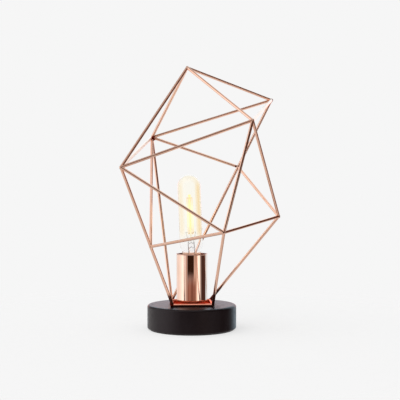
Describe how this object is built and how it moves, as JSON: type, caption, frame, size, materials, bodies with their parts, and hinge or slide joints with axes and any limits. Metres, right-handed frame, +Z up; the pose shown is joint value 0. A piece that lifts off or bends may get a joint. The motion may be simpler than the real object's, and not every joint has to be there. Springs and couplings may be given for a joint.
{
  "type": "table lamp",
  "caption": "Table lamp with an irregular polished copper wire cage around a tubular filament bulb in a copper cup, on a round black base.",
  "frame": {"origin": "on the floor under the middle of the round base, on the axis of the lampholder cup", "axes": "+Z up along the cup's axis, -Y towards the viewer of the picture, +X to the viewer's right"},
  "size_m": [0.214, 0.147, 0.3586],
  "materials": {
    "base_black": "satin black lacquer",
    "pad_felt": "felt",
    "grommet_rubber": "matte",
    "zinc_steel": "zinc plated",
    "cage_copper": "polished rose copper plating on steel",
    "cup_copper": "polished rose copper plating on steel",
    "holder_bakelite": "moulded",
    "insert_ceramic": "unglazed",
    "contact_brass": "bright",
    "cap_brass": "rolled, bright",
    "tip_solder": "dull",
    "insulator_black": "glassy",
    "bulb_amber_glass": "clear, amber tint",
    "stem_glass": "clear",
    "bulb_wire": "drawn",
    "filament_glow": "glowing filament"
  },
  "bodies": {
    "lamp": {"apex_bar_back_left": "cage_copper", "apex_bar_back_right": "cage_copper", "apex_bar_front_left": "cage_copper", "apex_bar_front_right": "cage_copper", "back_brace": "cage_copper", "base_disc": "base_black", "base_pad": "pad_felt", "cage_nut": "cage_copper", "cage_plate": "cage_copper", "centre_contact": "contact_brass", "cord_grommet": "grommet_rubber", "crown_bar_back": "cage_copper", "crown_bar_front": "cage_copper", "crown_bar_left": "cage_copper", "crown_bar_right": "cage_copper", "foot_bar_back": "cage_copper", "foot_bar_front": "cage_copper", "foot_bar_left": "cage_copper", "foot_bar_right": "cage_copper", "front_diagonal": "cage_copper", "front_upright": "cage_copper", "holder_barrel": "holder_bakelite", "holder_dome": "holder_bakelite", "holder_insert": "insert_ceramic", "lampholder_cup": "cup_copper", "left_brace": "cage_copper", "leg_back_left": "cage_copper", "leg_back_right": "cage_copper", "leg_front_left": "cage_copper", "leg_front_right": "cage_copper", "leg_long_back": "cage_copper", "lock_washer": "zinc_steel", "lower_nut": "zinc_steel", "lower_washer": "zinc_steel", "right_upright": "cage_copper", "screw_shell": "contact_brass", "side_contact": "contact_brass", "terminal_screws": "contact_brass", "threaded_tube": "zinc_steel", "upper_nut": "zinc_steel", "upper_washer": "zinc_steel", "waist_bar_back": "cage_copper", "waist_bar_front": "cage_copper", "waist_bar_right": "cage_copper"},
    "bulb": {"bulb_tip": "tip_solder", "bulb_insulator": "insulator_black", "bulb_cap": "cap_brass", "bulb_glass": "bulb_amber_glass", "bulb_stem": "stem_glass", "filament": "filament_glow", "filament_supports": "bulb_wire", "lead_wires": "bulb_wire"}
  },
  "joints": [
    {"name": "bulb_lift", "type": "slide", "parent": "lamp", "child": "bulb", "axis": [0, 0, 1], "range_m": [0, 0.045]}
  ]
}
